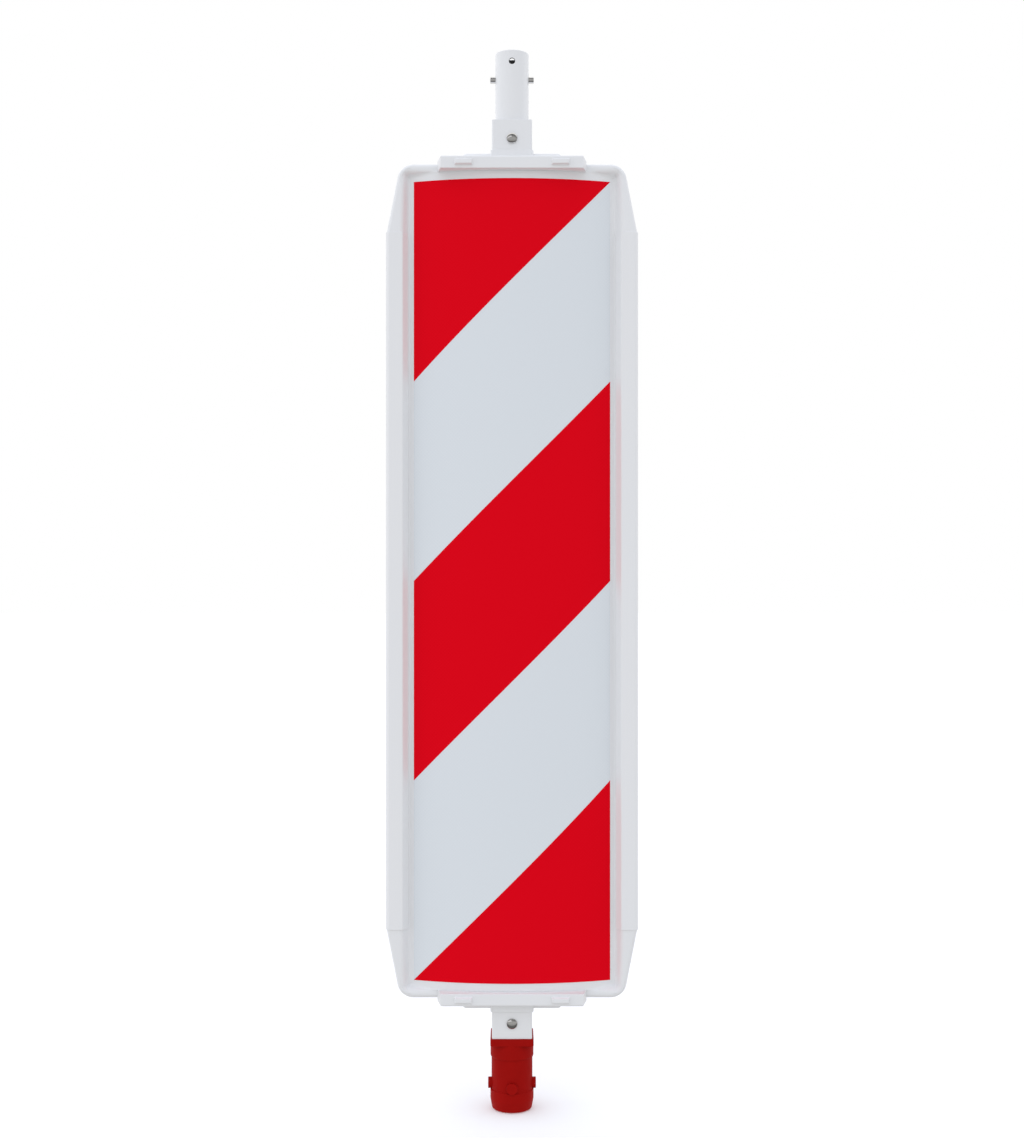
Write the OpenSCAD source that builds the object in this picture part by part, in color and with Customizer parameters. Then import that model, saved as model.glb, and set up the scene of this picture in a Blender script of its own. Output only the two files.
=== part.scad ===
// Double-sided guide beacon for road works: a hollow striped panel on a square post,
// with a bayonet plug below and a round lamp stub with two spring buttons on top.
// Millimetres. +Z is up, the front faces -Y, and the origin is the centre of the plug's end face.

/* [Panel] */
// Height of the panel shells
panel_h = 1048; // [960:1:1160]
// Width of the panel shells, without the edge strips
panel_w = 313; // [300:1:380]
// Height of the parallel part of the panel's sides
straight_h = 871; // [700:1:930]
// Width of the panel at its ends, where the tapered sides would meet the end edges
end_w = 284.2; // [270:0.1:300]
// Radius of the panel's corners
corner_r = 20; // [10:1:30]
// Wall thickness of the shells
shell_t = 2.6; // [2:0.1:3.2]
// Radius of the bowed face that carries the film
face_r = 385; // [360:1:480]
// Half depth of the panel at the middle of the bowed face
face_crest = 29.4; // [29.2:0.1:34]
// Width of the bowed face between the rim's inner flanks
face_w = 258; // [254:1:266]
// Half depth of the rim along the parallel sides
rim_crest = 20; // [18:0.1:23]
// Half depth of the rim at the panel's ends
end_crest = 17.5; // [14:0.1:19]
// Bevel on the rim's outer edge
rim_bevel = 4; // [2:0.1:5]
// Width of the rim at the panel's ends, down to the bowed face
end_rim_w = 18; // [16:0.1:24]
// How far the side rims' inner flanks lean outward, for each millimetre of depth
side_lean = 0.62; // [0.3:0.01:0.8]
// How far the end rims' inner flanks lean outward, for each millimetre of depth
end_lean = 0.5; // [0.2:0.01:0.6]
// Thickness of the cross ribs inside the shells
rib_t = 3; // [2:0.1:5]
// Number of cross ribs in each shell
rib_count = 5; // [3:1:9]

/* [Edge strips] */
// Wall thickness of the clip-on edge strips
strip_t = 1.6; // [1.2:0.1:2]
// How far the strips stand proud of the shells
strip_proud = 1; // [0.5:0.1:1.2]
// Half depth at which the strips' legs end on the rims' inner flanks
strip_foot = 11; // [9:0.1:15]

/* [Reflective film] */
// Flat width of the film
film_w = 250; // [220:1:252]
// Flat height of the film
film_h = 1000; // [800:1:1006]
// Thickness of the white film
white_film_t = 0.4; // [0.3:0.1:0.6]
// Thickness of the red film
red_film_t = 0.2; // [0.1:0.1:0.4]

/* [Square post] */
// Outer side of the post
post_side = 50; // [44:0.5:52]
// Wall thickness of the post
post_wall = 3; // [2:0.1:4]
// Outer corner radius of the post
post_corner_r = 2; // [1:0.1:2]
// How far the post stands out above the panel
post_above = 50.3; // [45:0.1:90]
// How far the post stands out below the panel
post_below = 46; // [42:0.1:90]
// Distance of the rivets from the panel's ends
rivet_rise = 26.6; // [24:0.1:34]

/* [End caps] */
// Width of a cap's front face
cap_front_w = 177; // [160:1:190]
// Width of a cap at its root
cap_root_w = 186; // [180:1:200]
// Half depth of a cap
cap_half_depth = 40; // [37:0.5:48]
// Distance from a cap's inner face to the panel's end
cap_grip = 14; // [10:0.1:16]
// Thickness of a cap past the panel's end
cap_cover_t = 1.6; // [1.4:0.1:4]
// Bevel on a cap's outer edges
cap_bevel = 2.5; // [1:0.1:3]
// Distance of the latch housings from the cap's middle
latch_x = 60; // [54:1:70]
// Width of a latch housing at its root
latch_w = 23.5; // [18:0.1:28]
// Height of a latch housing at its root
latch_h = 9; // [7:0.1:10]
// How far a latch housing stands out of the cap's face
latch_out = 4.5; // [3:0.1:6]
// Slope of a latch housing's sides, root to face
latch_slope = 1.9; // [1:0.1:3]
// Height of the boss on a cap
boss_h = 8; // [6:0.1:12]
// Width of the boss at its root
boss_root_w = 131.6; // [120:0.1:140]
// Width of the boss at its end
boss_end_w = 118.6; // [108:0.1:120]
// Depth of the boss at its root
boss_root_d = 48; // [40:0.1:60]
// Depth of the boss at its end
boss_end_d = 34; // [30:0.1:40]
// Wall of the square collar around the post
collar_t = 1.6; // [1.5:0.1:4]
// How far the collar stands above the boss
collar_h = 2.5; // [1:0.1:5]

/* [Lamp stub] */
// Outer radius of the stub, which a warning lamp slides over
stub_r = 21; // [20:0.1:21.8]
// Wall thickness of the stub
stub_wall = 3; // [2:0.1:3.5]
// Height of the stub above the post
stub_h = 88.2; // [80:0.1:110]
// Length of the stub's square spigot inside the post
spigot_l = 62; // [40:1:70]
// Radius of the lamp lock hole through the stub
lock_r = 4; // [3:0.1:5]
// Distance from the stub's top to the lock hole's axis
lock_drop = 14.2; // [10:0.1:18]

/* [Spring buttons] */
// Radius of a button
button_r = 4.3; // [3.5:0.1:5]
// How far a button stands out of the stub at rest
button_out = 6.5; // [4:0.1:6.6]
// Distance from the stub's top to the buttons' axis
button_drop = 32; // [28:0.1:40]
// Radius of the collar that keeps a button in the stub
button_collar_r = 6.5; // [6:0.1:7]
// Thickness of that collar
button_collar_t = 1.4; // [1:0.1:2]
// Chamfer on a button's end
button_chamfer = 0.8; // [0.3:0.1:1.5]
// Width of the spring leaf that joins the buttons
spring_w = 10; // [8:0.5:12]
// Thickness of the spring leaf
spring_t = 0.8; // [0.5:0.1:1.2]
// Height of the spring leaf
spring_h = 66; // [50:1:70]
// Outer radius of the spring leaf's bend
spring_bend_r = 7; // [5:0.1:10]

/* [Rivets] */
// Radius of the rivets' shanks
rivet_r = 3.2; // [2.5:0.1:4]
// Radius of the rivets' domed heads
rivet_head_r = 6.5; // [5:0.1:8]
// Height of the rivets' domed heads
rivet_head_h = 4; // [2:0.1:5]

/* [Bayonet plug] */
// Side of the square flange below the post
flange_side = 54; // [52:0.5:60]
// Height of the square flange
flange_h = 8.8; // [6:0.1:14]
// Radius of the round collar under the flange
plug_collar_r = 27; // [26.2:0.1:28]
// Height of the round collar
plug_collar_h = 18.2; // [12:0.1:24]
// Radius of the neck
neck_r = 25.7; // [24:0.1:26]
// Height of the neck
neck_h = 41.4; // [38:0.1:50]
// Radius of the guide ring
ring_r = 27.15; // [26.5:0.05:28]
// Height of the guide ring
ring_h = 11.6; // [8:0.1:20]
// Height of the tapered tip, with its rounded end
tip_h = 12.5; // [8:0.1:20]
// Radius of the plug's end before its rounded edge
tip_r = 24.8; // [23:0.1:26]
// Radius of the rounded edge at the plug's end
tip_round = 2.5; // [1.5:0.1:3]
// Radius of the four bayonet lugs
lug_r = 6.9; // [5:0.1:8]
// Reach of the lugs from the plug's axis
lug_reach = 30; // [28.5:0.1:34]
// Wall thickness of the plug
plug_wall = 5; // [4:0.1:6]

/* [Clearances] */
// Gap between pieces that are assembled and stay put
seat_gap = 0.2; // [0.1:0.05:0.3]
// Gap between the edge strips and the shells
strip_gap = 0.1; // [0.05:0.05:0.2]
// Radial gap between a button and its hole
button_gap = 0.06; // [0.02:0.01:0.1]
// Gap between a rivet and its holes
rivet_gap = 0.05; // [0.02:0.01:0.1]

/* [Hidden] */
$fn = 96;
eps = 0.01;
far = 400;

shell_white = [0.9, 0.91, 0.93];
strip_white = [0.93, 0.94, 0.96];
film_white = [0.83, 0.85, 0.87];
film_red = [0.82, 0.04, 0.11];
post_white = [0.88, 0.89, 0.91];
plug_red = [0.55, 0.07, 0.06];
steel = [0.62, 0.62, 0.6];

half_h = panel_h / 2;
half_w = panel_w / 2;
straight = straight_h / 2;
plug_h = flange_h + plug_collar_h + neck_h + ring_h + tip_h;
mid_z = plug_h + post_below + half_h;
post_top = half_h + post_above;
post_bottom = half_h + post_below;
stub_top = post_top + stub_h;
rivet_z = half_h + rivet_rise;
button_z = stub_top - button_drop;
stub_bore_r = stub_r - stub_wall;
post_bore = post_side - 2 * post_wall;
spigot_side = post_bore - 2 * seat_gap;

// Angle of the tapered sides from upright, and the middle of a corner's arc
taper = atan((half_w - end_w / 2) / (half_h - straight));
corner_z = half_h - corner_r;
corner_x = half_w - (corner_z - straight) * tan(taper) - corner_r / cos(taper);

// Half depth of the bowed face, or of a surface parallel to it, at a distance x from its middle
function face_t(x, r = face_r) = face_crest - face_r + sqrt(r * r - x * x);
// Outline of such a surface across a width, as chords of one length from the middle out
bow_chord = 4;
function bow(r, width) =
    let (n = ceil(width / 2 / bow_chord) - 1)
    [for (x = concat([-width / 2], [for (i = [-n : n]) i * bow_chord], [width / 2])) [x, -face_t(x, r)]];
valley_x = face_w / 2;
valley_t = face_t(valley_x);
window_floor = valley_t - 2;
end_valley = half_h - end_rim_w;
face_end = half_h - cap_grip + 3;

// One quarter of the panel's outline, set in by a distance
function quarter(inset) = concat(
    [[half_w - inset, straight - inset * tan(taper / 2)]],
    [for (a = [taper : (90 - taper) / 8 : 90.01])
        [corner_x + (corner_r - inset) * cos(a), corner_z + (corner_r - inset) * sin(a)]]
);
function backwards(points) = [for (i = [len(points) - 1 : -1 : 0]) points[i]];
function scaled(points, sx, sy) = [for (p = points) [p[0] * sx, p[1] * sy]];
function outline(inset) = concat(
    quarter(inset), backwards(scaled(quarter(inset), -1, 1)),
    scaled(quarter(inset), -1, -1), backwards(scaled(quarter(inset), 1, -1))
);

// A flat shape in the X-Z plane, extruded forward from one half depth to another
module forward(from, to) {
    rotate([90, 0, 0])
        translate([0, 0, from])
            linear_extrude(to - from) children();
}

// A flat shape in the Y-Z plane, extruded along X
module across(width) {
    rotate([90, 0, 90])
        linear_extrude(width, center = true) children();
}

module mirrored(axis) {
    children();
    mirror(axis) children();
}

module rounded_square(side, r) {
    square([side - 2 * r, side], center = true);
    square([side, side - 2 * r], center = true);
    for (x = [-1, 1], y = [-1, 1])
        translate([x, y] * (side / 2 - r)) circle(r);
}

// The rim's height along the panel: full along the parallel sides, and lower towards the ends
module rim_profile(inset, base) {
    end = half_h - inset;
    low = end_crest - inset;
    side = [
        [-base, end], [-(low - rim_bevel), end], [-low, end - rim_bevel],
        [-low, end_valley + 6], [-(rim_crest - inset), straight]
    ];
    polygon(concat(side, backwards(scaled(side, 1, -1))));
}

module rim_block(inset, base) {
    crest = rim_crest - inset;
    intersection() {
        hull() {
            forward(base, crest - rim_bevel) polygon(outline(inset));
            forward(crest - eps, crest) polygon(outline(inset + rim_bevel));
        }
        across(2 * far) rim_profile(inset, base);
    }
}

// The opening inside the rim, with leaning flanks
module rim_window(inset) {
    floor_t = window_floor - inset;
    roof_t = rim_crest + 20;
    x_at = function (t) valley_x + (t - valley_t) * side_lean + inset * norm([1, side_lean]);
    z_at = function (t) end_valley + (t - valley_t) * end_lean + inset * norm([1, end_lean]);
    intersection() {
        linear_extrude(4 * far, center = true)
            polygon([
                [-x_at(floor_t), -floor_t], [x_at(floor_t), -floor_t],
                [x_at(roof_t), -roof_t], [-x_at(roof_t), -roof_t]
            ]);
        across(2 * far)
            polygon([
                [-floor_t, -z_at(floor_t)], [-floor_t, z_at(floor_t)],
                [-roof_t, z_at(roof_t)], [-roof_t, -z_at(roof_t)]
            ]);
    }
}

// The bowed face as a solid, down to the seam
module bowed_block(inset, base) {
    half = valley_x + inset;
    linear_extrude(2 * (face_end - inset), center = true)
        polygon(concat(bow(face_r - inset, 2 * half), [[half, -base], [-half, -base]]));
}

// The front half of the panel as a solid, set in by a distance
module front_form(inset, base) {
    bowed_block(inset, base);
    difference() {
        rim_block(inset, base);
        rim_window(inset);
    }
}

// Section of an edge strip's surface, set in by a distance from its outside
function strip_section(inset) =
    let (
        crest = rim_crest + strip_proud - inset,
        outer = half_w + strip_proud - inset,
        cut = rim_crest + half_w + 2 * strip_proud - rim_bevel - inset * sqrt(2),
        shift = (inset - strip_proud) * norm([1, side_lean]),
        inner = function (t) valley_x + (t - valley_t) * side_lean + shift,
        front = [
            [inner(strip_foot), strip_foot], [inner(crest), crest],
            [cut - crest, crest], [outer, cut - outer]
        ]
    )
    concat(front, backwards(scaled(front, 1, -1)));

// The space inside an edge strip's section, open at its mouth
module strip_inside(inset) {
    polygon(strip_section(inset));
    translate([valley_x - 10, -strip_foot])
        square([20, 2 * strip_foot]);
}

module strip_room(length) {
    linear_extrude(length, center = true)
        difference() {
            translate([valley_x, strip_foot - 2 * far])
                square([far, 4 * far], center = false);
            strip_inside(strip_t + strip_gap);
        }
}

// Cross ribs that seat the shell on the post
module ribs() {
    spacing = straight_h / (rib_count + 1);
    for (i = [1 : rib_count])
        translate([0, 0, -straight + i * spacing])
            intersection() {
                bowed_block(shell_t - eps, 0);
                translate([0, -face_crest / 2, 0])
                    cube([2 * (valley_x - 8), face_crest, rib_t], center = true);
            }
}

// The square way through the panel for the post
module post_way() {
    linear_extrude(4 * far, center = true)
        rounded_square(post_side + 2 * seat_gap, post_corner_r);
}

module shell() {
    difference() {
        union() {
            difference() {
                front_form(0, 0);
                front_form(shell_t, -1);
                mirrored([1, 0, 0])
                    strip_room(straight_h + 2 * strip_gap);
            }
            ribs();
        }
        post_way();
    }
}

module front_shell() {
    color(shell_white)
        translate([0, 0, mid_z])
            shell();
}

module rear_shell() {
    color(shell_white)
        translate([0, 0, mid_z])
            rotate([0, 0, 180]) shell();
}

module edge_strip() {
    linear_extrude(straight_h, center = true)
        difference() {
            polygon(strip_section(0));
            strip_inside(strip_t);
        }
}

module left_edge_strip() {
    color(strip_white)
        translate([0, 0, mid_z])
            mirror([1, 0, 0]) edge_strip();
}

module right_edge_strip() {
    color(strip_white)
        translate([0, 0, mid_z])
            edge_strip();
}

// A layer of film on the bowed face, between two heights above it, cut to a flat shape
module film_layer(low, high) {
    intersection() {
        linear_extrude(film_h, center = true)
            polygon(concat(bow(face_r + high, 2 * half_film), backwards(bow(face_r + low, 2 * half_film))));
        forward(0, 2 * face_crest) children();
    }
}

// Where a point of the flat film lies across the bowed face
function wrapped(s) = face_r * sin(s / face_r * 180 / PI);
function stripe_edge(start) = [
    for (i = [0 : 12])
        let (s = film_w * (i / 12 - 0.5))
        [wrapped(s), start + s]
];
half_film = wrapped(film_w / 2);

module white_film() {
    film_layer(0, white_film_t)
        square([2 * half_film, film_h], center = true);
}

// The red between two slanting edges, each given by its height at the film's middle
module red_stripe(low, high) {
    film_layer(white_film_t, white_film_t + red_film_t)
        intersection() {
            square([2 * half_film, film_h], center = true);
            polygon(concat(stripe_edge(low), backwards(stripe_edge(high))));
        }
}

module front_white_film() {
    color(film_white)
        translate([0, 0, mid_z])
            white_film();
}

module front_red_film_upper() {
    color(film_red)
        translate([0, 0, mid_z])
            red_stripe(film_h / 2 - film_w / 2, film_h / 2 + film_w / 2);
}

module front_red_film_middle() {
    color(film_red)
        translate([0, 0, mid_z])
            red_stripe(-film_w / 2, film_w / 2);
}

module front_red_film_lower() {
    color(film_red)
        translate([0, 0, mid_z])
            red_stripe(-film_h / 2 - film_w / 2, -film_h / 2 + film_w / 2);
}

module rear_white_film() {
    color(film_white)
        translate([0, 0, mid_z])
            rotate([0, 0, 180]) white_film();
}

module rear_red_film_upper() {
    color(film_red)
        translate([0, 0, mid_z])
            rotate([0, 0, 180]) red_stripe(film_h / 2 - film_w / 2, film_h / 2 + film_w / 2);
}

module rear_red_film_middle() {
    color(film_red)
        translate([0, 0, mid_z])
            rotate([0, 0, 180]) red_stripe(-film_w / 2, film_w / 2);
}

module rear_red_film_lower() {
    color(film_red)
        translate([0, 0, mid_z])
            rotate([0, 0, 180]) red_stripe(-film_h / 2 - film_w / 2, -film_h / 2 + film_w / 2);
}

// A block with four sloping sides, from a root rectangle up to an end rectangle
module tapered_block(root, end, h) {
    intersection() {
        across(2 * far)
            polygon([[-root[1] / 2, 0], [root[1] / 2, 0], [end[1] / 2, h], [-end[1] / 2, h]]);
        rotate([90, 0, 0])
            linear_extrude(2 * far, center = true)
                polygon([[-root[0] / 2, 0], [root[0] / 2, 0], [end[0] / 2, h], [-end[0] / 2, h]]);
    }
}

cap_inner_z = half_h - cap_grip;
cap_outer_z = half_h + cap_cover_t;
cap_h = cap_outer_z - cap_inner_z;
latch_z = cap_inner_z + cap_h * 0.48;

// A cap's bar: its ends slope in towards the front and back faces, and its outer edges are bevelled
module cap_bar() {
    root = end_crest;
    intersection() {
        translate([0, 0, cap_inner_z])
            linear_extrude(cap_h)
                polygon([
                    [-cap_root_w / 2, -root], [-cap_front_w / 2, -cap_half_depth],
                    [cap_front_w / 2, -cap_half_depth], [cap_root_w / 2, -root],
                    [cap_root_w / 2, root], [cap_front_w / 2, cap_half_depth],
                    [-cap_front_w / 2, cap_half_depth], [-cap_root_w / 2, root]
                ]);
        across(2 * far)
            polygon([
                [-cap_half_depth, cap_inner_z], [cap_half_depth, cap_inner_z],
                [cap_half_depth, cap_outer_z - cap_bevel], [cap_half_depth - cap_bevel, cap_outer_z],
                [cap_bevel - cap_half_depth, cap_outer_z], [-cap_half_depth, cap_outer_z - cap_bevel]
            ]);
        rotate([90, 0, 0])
            linear_extrude(2 * far, center = true)
                polygon([
                    [-cap_root_w / 2, cap_inner_z], [cap_root_w / 2, cap_inner_z],
                    [cap_root_w / 2, cap_outer_z - cap_bevel],
                    [cap_root_w / 2 - cap_bevel, cap_outer_z],
                    [cap_bevel - cap_root_w / 2, cap_outer_z],
                    [-cap_root_w / 2, cap_outer_z - cap_bevel]
                ]);
    }
}

// A latch housing on a cap's front face
module latch_housing(x) {
    translate([x, -cap_half_depth, latch_z])
        rotate([90, 0, 0])
            tapered_block([latch_w, latch_h], [latch_w, latch_h] - [1, 1] * 2 * latch_slope, latch_out);
}

// The cap on the panel's upper end
module cap() {
    collar_side = post_side + 2 * (seat_gap + collar_t);
    difference() {
        union() {
            cap_bar();
            for (x = [-latch_x, latch_x]) {
                latch_housing(x);
                rotate([0, 0, 180]) latch_housing(x);
            }
            translate([0, 0, cap_outer_z - eps])
                tapered_block([boss_root_w, boss_root_d], [boss_end_w, boss_end_d], boss_h);
            translate([0, 0, cap_outer_z - eps])
                linear_extrude(boss_h + collar_h)
                    rounded_square(collar_side, post_corner_r + collar_t);
        }
        mirrored([0, 1, 0])
            front_form(-seat_gap, -1);
        post_way();
    }
}

module top_cap() {
    color(shell_white)
        translate([0, 0, mid_z])
            cap();
}

module bottom_cap() {
    color(shell_white)
        translate([0, 0, mid_z])
            rotate([180, 0, 0]) cap();
}

// A hole from front to back, at a height
module cross_hole(z, r) {
    translate([0, 0, z])
        rotate([90, 0, 0])
            cylinder(h = 2 * post_side, r = r, center = true);
}

module square_post() {
    color(post_white)
        translate([0, 0, mid_z])
            difference() {
                translate([0, 0, -post_bottom])
                    linear_extrude(post_top + post_bottom)
                        difference() {
                            rounded_square(post_side, post_corner_r);
                            square(post_bore, center = true);
                        }
                cross_hole(rivet_z, rivet_r + rivet_gap);
                cross_hole(-rivet_z, rivet_r + rivet_gap);
            }
}

// A round tube on a square spigot, which the top rivet holds in the post
module lamp_stub() {
    color(post_white)
        translate([0, 0, mid_z])
            difference() {
                union() {
                    translate([0, 0, post_top - spigot_l])
                        linear_extrude(spigot_l)
                            square(spigot_side, center = true);
                    translate([0, 0, post_top - eps])
                        cylinder(h = stub_h + eps, r = stub_r);
                }
                translate([0, 0, post_top - spigot_l - 1])
                    cylinder(h = spigot_l + stub_h + 2, r = stub_bore_r);
                cross_hole(rivet_z, rivet_r + rivet_gap);
                cross_hole(stub_top - lock_drop, lock_r);
                translate([0, 0, button_z])
                    rotate([0, 90, 0])
                        cylinder(h = 3 * stub_r, r = button_r + button_gap, center = true);
            }
}

// Where a button's flat collar meets the round bore of the stub
button_stop = sqrt(stub_bore_r * stub_bore_r - button_collar_r * button_collar_r) - button_gap;
button_back = button_stop - button_collar_t;
button_tip = stub_r + button_out;

// The right-hand button: a pin with a collar inside the stub
module button() {
    rotate([0, 90, 0]) {
        translate([0, 0, button_back])
            cylinder(h = button_collar_t, r = button_collar_r);
        translate([0, 0, button_back])
            cylinder(h = button_tip - button_chamfer - button_back, r = button_r);
        translate([0, 0, button_tip - button_chamfer])
            cylinder(h = button_chamfer, r1 = button_r, r2 = button_r - button_chamfer);
    }
}

module right_button() {
    color(steel)
        translate([0, 0, mid_z + button_z])
            button();
}

module left_button() {
    color(steel)
        translate([0, 0, mid_z + button_z])
            mirror([1, 0, 0]) button();
}

// One face of the bent leaf, set in by a distance: down one leg, round the bend and up the other
function leaf_face(inset) =
    let (
        bend_r = spring_bend_r - inset,
        bend_z = button_z + button_collar_r - spring_h + spring_bend_r,
        pad_x = button_back - seat_gap - inset,
        pad = [[pad_x, button_z + button_collar_r], [pad_x, button_z - button_collar_r]]
    )
    concat(
        pad,
        [for (a = [0 : 10 : 180]) [bend_r * cos(a), bend_z - bend_r * sin(a)]],
        backwards(scaled(pad, -1, 1))
    );

module button_spring() {
    color(steel)
        translate([0, 0, mid_z])
            rotate([90, 0, 0])
                linear_extrude(spring_w, center = true)
                    polygon(concat(leaf_face(0), backwards(leaf_face(spring_t))));
}

// A rivet through the post, with a domed head at the front and at the back
module rivet() {
    dome_r = (rivet_head_r * rivet_head_r + rivet_head_h * rivet_head_h) / (2 * rivet_head_h);
    seat = post_side / 2;
    rotate([90, 0, 0])
        cylinder(h = post_side + 2, r = rivet_r, center = true);
    mirrored([0, 1, 0])
        intersection() {
            translate([0, dome_r - rivet_head_h - seat, 0]) sphere(dome_r);
            translate([0, -seat, 0])
                rotate([90, 0, 0])
                    cylinder(h = rivet_head_h + 1, r = rivet_head_r + 1);
        }
}

module top_rivet() {
    color(steel)
        translate([0, 0, mid_z + rivet_z])
            rivet();
}

module bottom_rivet() {
    color(steel)
        translate([0, 0, mid_z - rivet_z])
            rivet();
}

collar_z = plug_h - flange_h;
neck_z = collar_z - plug_collar_h;
ring_z = neck_z - neck_h;
lug_z = ring_z + lug_r + 0.2;

// The plug that turns and locks in a base plate, with its spigot up inside the post
module bayonet_plug() {
    plug_spigot_l = rivet_rise + plug_wall + 14;
    flange_bevel = 1.5;
    collar_chamfer = 1.4;
    color(plug_red)
        difference() {
            union() {
                rotate_extrude()
                    polygon(concat(
                        [[0, 0], [tip_r - tip_round, 0]],
                        [for (a = [-90 : 15 : 0])
                            [tip_r - tip_round + tip_round * cos(a), tip_round + tip_round * sin(a)]],
                        [
                            [ring_r, tip_h], [ring_r, ring_z], [neck_r, ring_z + 0.8],
                            [neck_r, neck_z], [plug_collar_r - 0.4, neck_z],
                            [plug_collar_r, neck_z + collar_chamfer], [plug_collar_r, collar_z],
                            [0, collar_z]
                        ]
                    ));
                translate([0, 0, collar_z])
                    linear_extrude(flange_h - flange_bevel)
                        rounded_square(flange_side, post_corner_r + 1);
                translate([0, 0, plug_h - flange_bevel])
                    linear_extrude(flange_bevel)
                        rounded_square(flange_side - 2 * flange_bevel, post_corner_r);
                translate([0, 0, plug_h])
                    linear_extrude(plug_spigot_l)
                        square(spigot_side, center = true);
                for (a = [0, 90])
                    translate([0, 0, lug_z])
                        rotate([0, 90, a])
                            cylinder(h = 2 * lug_reach, r = lug_r, center = true);
            }
            translate([0, 0, -1])
                cylinder(h = neck_z - plug_wall + 1, r = tip_r - plug_wall);
            translate([0, 0, neck_z])
                cylinder(h = far, r = spigot_side / 2 - plug_wall);
            cross_hole(mid_z - rivet_z, rivet_r + rivet_gap);
        }
}

front_shell();
rear_shell();
left_edge_strip();
right_edge_strip();
front_white_film();
front_red_film_upper();
front_red_film_middle();
front_red_film_lower();
rear_white_film();
rear_red_film_upper();
rear_red_film_middle();
rear_red_film_lower();
top_cap();
bottom_cap();
square_post();
lamp_stub();
left_button();
right_button();
button_spring();
top_rivet();
bottom_rivet();
bayonet_plug();
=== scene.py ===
# %% [markdown]
# # A guide beacon for road works
# A guide beacon stands beside a lane closure. It is a hollow plastic panel with striped reflective film
# on both sides, held on a square post. A red plug under the post turns and locks in a base plate, and a
# warning lamp slides over the round stub on top. This lesson builds its looks around the frame, which
# already fixes every size and every moving part. The first cell loads that frame and keeps its box.

# %% The frame
from math import asin, atan, cos, hypot, pi, radians, sin, sqrt, tan

import bmesh
import bpy
from mathutils import Matrix, Vector


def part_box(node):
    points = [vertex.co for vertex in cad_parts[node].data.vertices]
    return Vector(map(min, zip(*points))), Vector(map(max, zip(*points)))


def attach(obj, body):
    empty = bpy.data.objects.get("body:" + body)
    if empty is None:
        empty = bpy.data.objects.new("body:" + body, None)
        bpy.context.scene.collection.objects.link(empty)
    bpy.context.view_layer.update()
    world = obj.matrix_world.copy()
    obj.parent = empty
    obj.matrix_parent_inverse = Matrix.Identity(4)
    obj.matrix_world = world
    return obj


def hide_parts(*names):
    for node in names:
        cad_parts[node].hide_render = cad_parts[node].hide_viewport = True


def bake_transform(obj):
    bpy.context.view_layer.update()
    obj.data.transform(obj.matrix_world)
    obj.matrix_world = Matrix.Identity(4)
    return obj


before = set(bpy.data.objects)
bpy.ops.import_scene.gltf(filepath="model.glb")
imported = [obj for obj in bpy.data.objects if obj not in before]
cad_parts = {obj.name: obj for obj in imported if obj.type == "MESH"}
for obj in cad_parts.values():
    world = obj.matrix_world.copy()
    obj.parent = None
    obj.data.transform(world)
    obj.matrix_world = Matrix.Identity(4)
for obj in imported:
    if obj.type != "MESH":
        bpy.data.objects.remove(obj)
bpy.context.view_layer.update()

MM = 0.001

# %% [markdown]
# ## Sizes
# Pieces are drawn in millimetres, because that is how a moulder thinks of them, and are turned into
# metres when they are handed over. The overall sizes come from the frame's own boxes, so the looks always
# follow the design. The sizes below them are the ones that no box can show, such as a wall or the lean of
# a flank. The rim is the one exception. Its ends stand `rim_drop` lower than the design's, and its
# corners a little further in, because the rim is nearer to the eye and would look too large at its full
# size.

# %% Sizes of the panel
strip_proud = 1.0
shell_low, shell_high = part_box("front_shell")
strip_low, strip_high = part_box("right_edge_strip")
mid_z = (shell_low.z + shell_high.z) / 2 / MM
half_h = (shell_high.z - shell_low.z) / 2 / MM
half_w = strip_high.x / MM - strip_proud
straight = (strip_high.z - strip_low.z) / 2 / MM
face_crest = -shell_low.y / MM
face_r = 385
shell_t = 2.6
rim_crest, end_crest = strip_high.y / MM - strip_proud, 17.5
corner_r = 20
end_half_w = 140
rim_drop = 3
rim_half_h = half_h - rim_drop
valley_x, end_rim_w = 129, 18
side_lean, end_lean = 0.62, 0.5
strip_t, strip_gap, strip_foot = 1.6, 0.1, 11
seat_gap = 0.2
post_side = (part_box("square_post")[1].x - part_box("square_post")[0].x) / MM


def face_t(x, inset=0):
    """Half depth of the bowed face, or of a face set in by a distance, across the panel."""
    return face_crest - face_r + sqrt((face_r - inset) ** 2 - x * x)


taper = atan((half_w - end_half_w) / (rim_half_h - straight))
corner_z = rim_half_h - corner_r
corner_x = half_w - (corner_z - straight) * tan(taper) - corner_r / cos(taper)
valley_t = face_t(valley_x)
end_valley = half_h - end_rim_w
print(f"panel {2 * half_w:.1f} by {2 * half_h:.1f} mm, middle {mid_z:.1f} mm up")
print(f"valley {valley_t:.2f} mm deep")

# %% [markdown]
# ## The camera
# The beacon is seen straight from the front, with the eye level with the middle of the panel, about two
# metres away. From there the upper pieces are seen a little from below, and the lower ones a little from
# above, which is what shows their depth. A small upward shift sets the beacon slightly low in the frame.

# %% The camera
eye_distance, lens, eye_shift = 1.991, 50, 0.0105
camera_data = bpy.data.cameras.new("eye")
camera_data.lens = lens
camera_data.shift_y = eye_shift
camera = bpy.data.objects.new("eye", camera_data)
camera.location = (0, -eye_distance, mid_z * MM)
camera.rotation_euler = (pi / 2, 0, 0)
bpy.context.scene.collection.objects.link(camera)
bpy.context.scene.camera = camera
print("the camera stands", eye_distance, "m in front of the panel")

# %% [markdown]
# ## Shader sums
# A material is a small calculation, and it reads best as one. The class below wraps one socket. Adding,
# subtracting or multiplying wires adds the Math nodes, also where a plain number stands first. Every
# other node comes from the one method `node`: its type, its settings, which are set first, and then the
# numbers or wires that its sockets take.


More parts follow.
